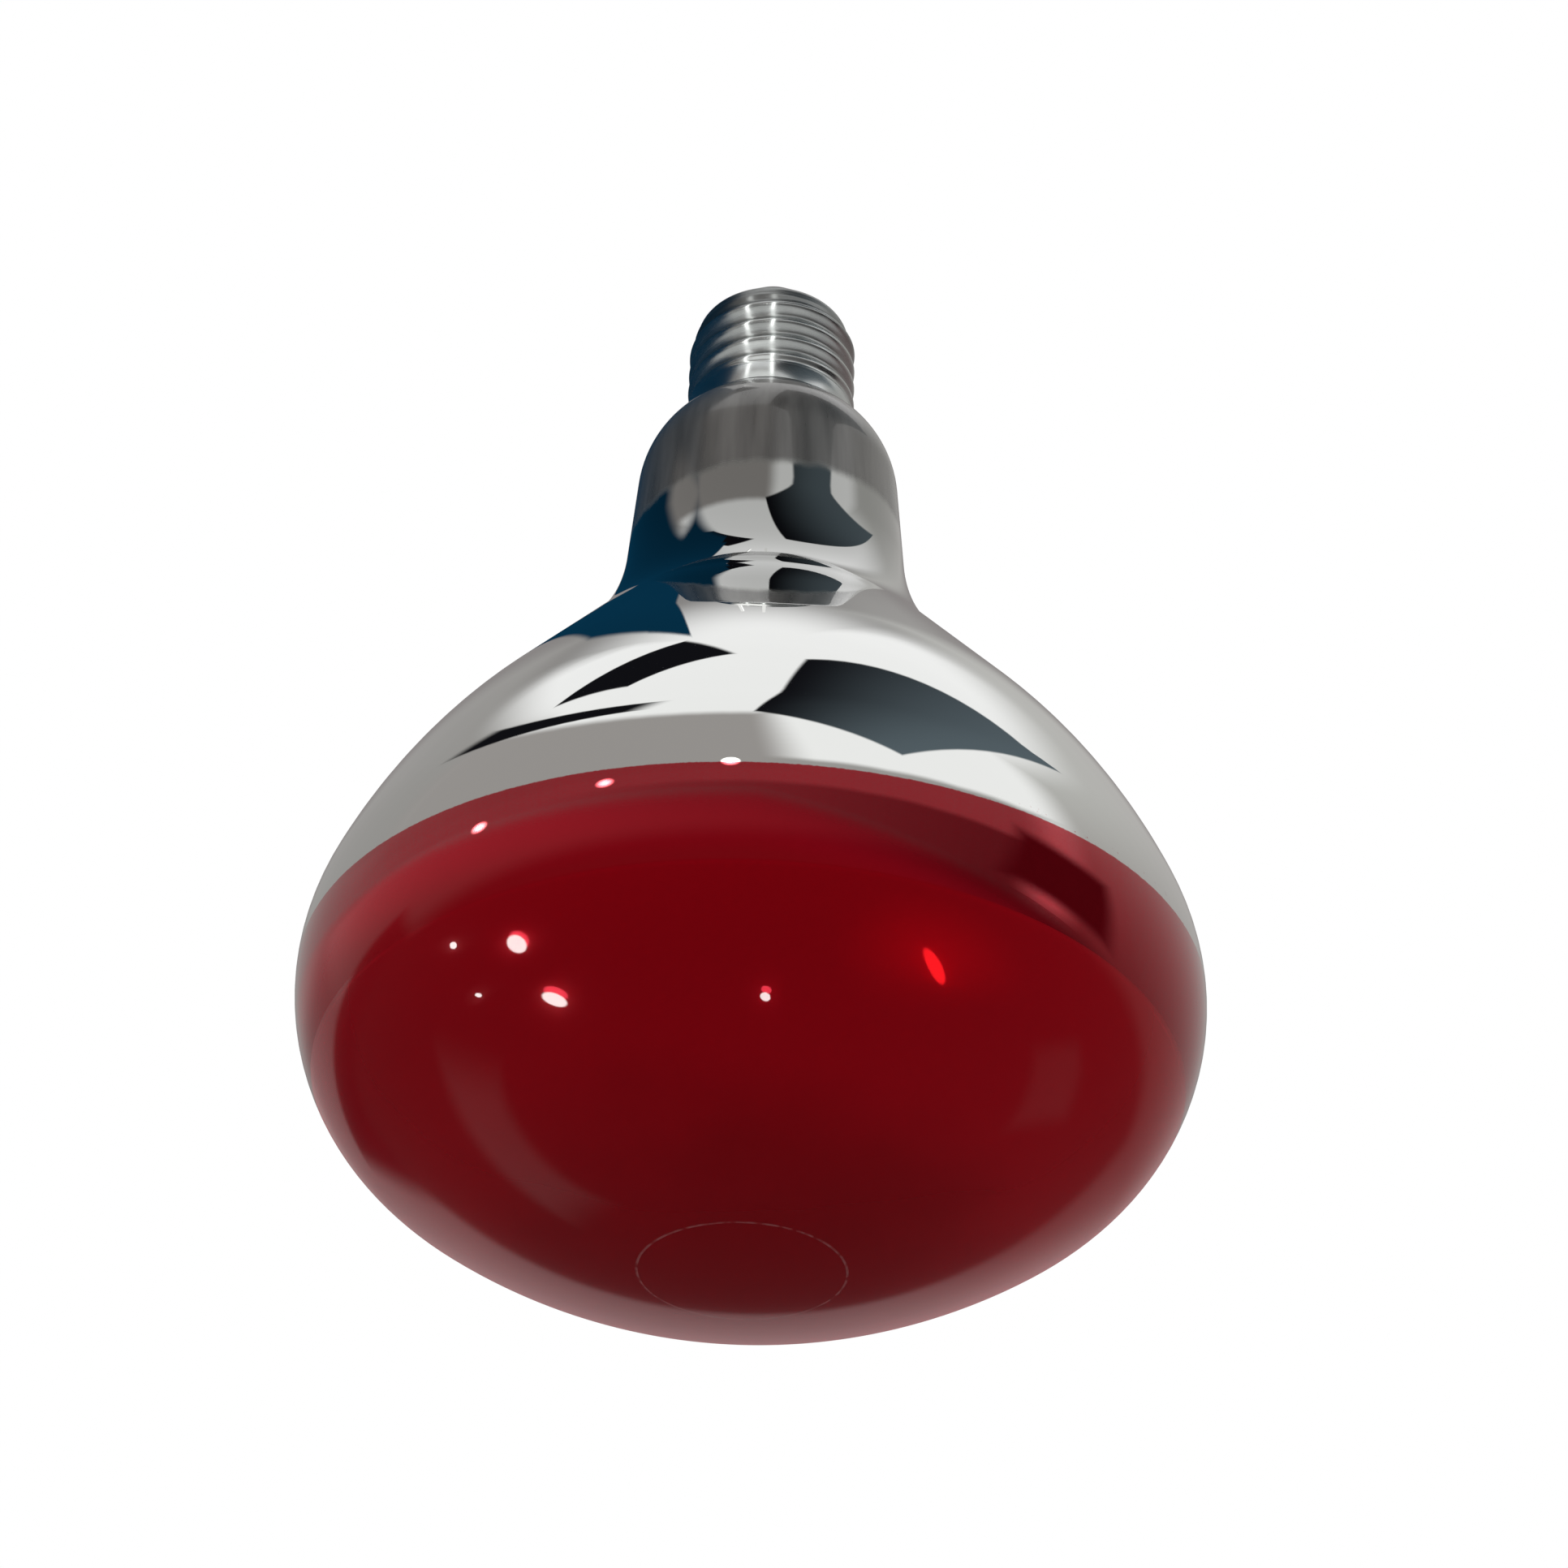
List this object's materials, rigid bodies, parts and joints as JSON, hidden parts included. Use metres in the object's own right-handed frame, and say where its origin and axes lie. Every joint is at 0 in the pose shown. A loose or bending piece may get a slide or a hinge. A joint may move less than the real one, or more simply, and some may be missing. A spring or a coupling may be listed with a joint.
{
  "type": "infrared heat lamp bulb",
  "caption": "Mushroom-shaped reflector heat lamp with a screw cap, a silver mirrored glass back and a red domed face; radiates heat downwards from a coil inside.",
  "frame": {"origin": "middle of the centre contact's flat top, where the lampholder's contact presses", "axes": "+Z along the lamp's axis, out of the screw cap; the red face points to -Z, and the front of the picture to -Y"},
  "size_m": [0.125, 0.125, 0.1743],
  "materials": {
    "envelope_glass": "blown glass, aluminium mirror inside the back, red lacquer on the face",
    "cap_metal": "satin rolled sheet",
    "black_glass": "black moulded insulating glass",
    "contact_brass": "stamped plate",
    "solder": "dull solder",
    "cement": "baked basing cement",
    "clear_glass": "clear soft glass",
    "deflector_metal": "bright sheet",
    "tungsten": "drawn tungsten coil",
    "copper_wire": "copper-clad wire",
    "nickel_wire": "nickel wire",
    "support_metal": "molybdenum wire"
  },
  "bodies": {
    "root": {"envelope": "envelope_glass", "screw_shell": "cap_metal", "cap_insulator": "black_glass", "centre_contact": "contact_brass", "contact_solder": "solder", "rim_solder": "solder", "cap_cement": "cement", "stem": "clear_glass", "exhaust_tube": "clear_glass", "button_rod": "clear_glass", "heat_deflector": "deflector_metal", "filament": "tungsten", "outer_lead_contact": "copper_wire", "outer_lead_shell": "copper_wire", "seal_wire_contact": "copper_wire", "seal_wire_shell": "copper_wire", "inner_lead_contact": "nickel_wire", "inner_lead_shell": "nickel_wire", "support_wire_1": "support_metal", "support_wire_2": "support_metal", "support_wire_3": "support_metal", "support_wire_4": "support_metal"}
  },
  "joints": []
}
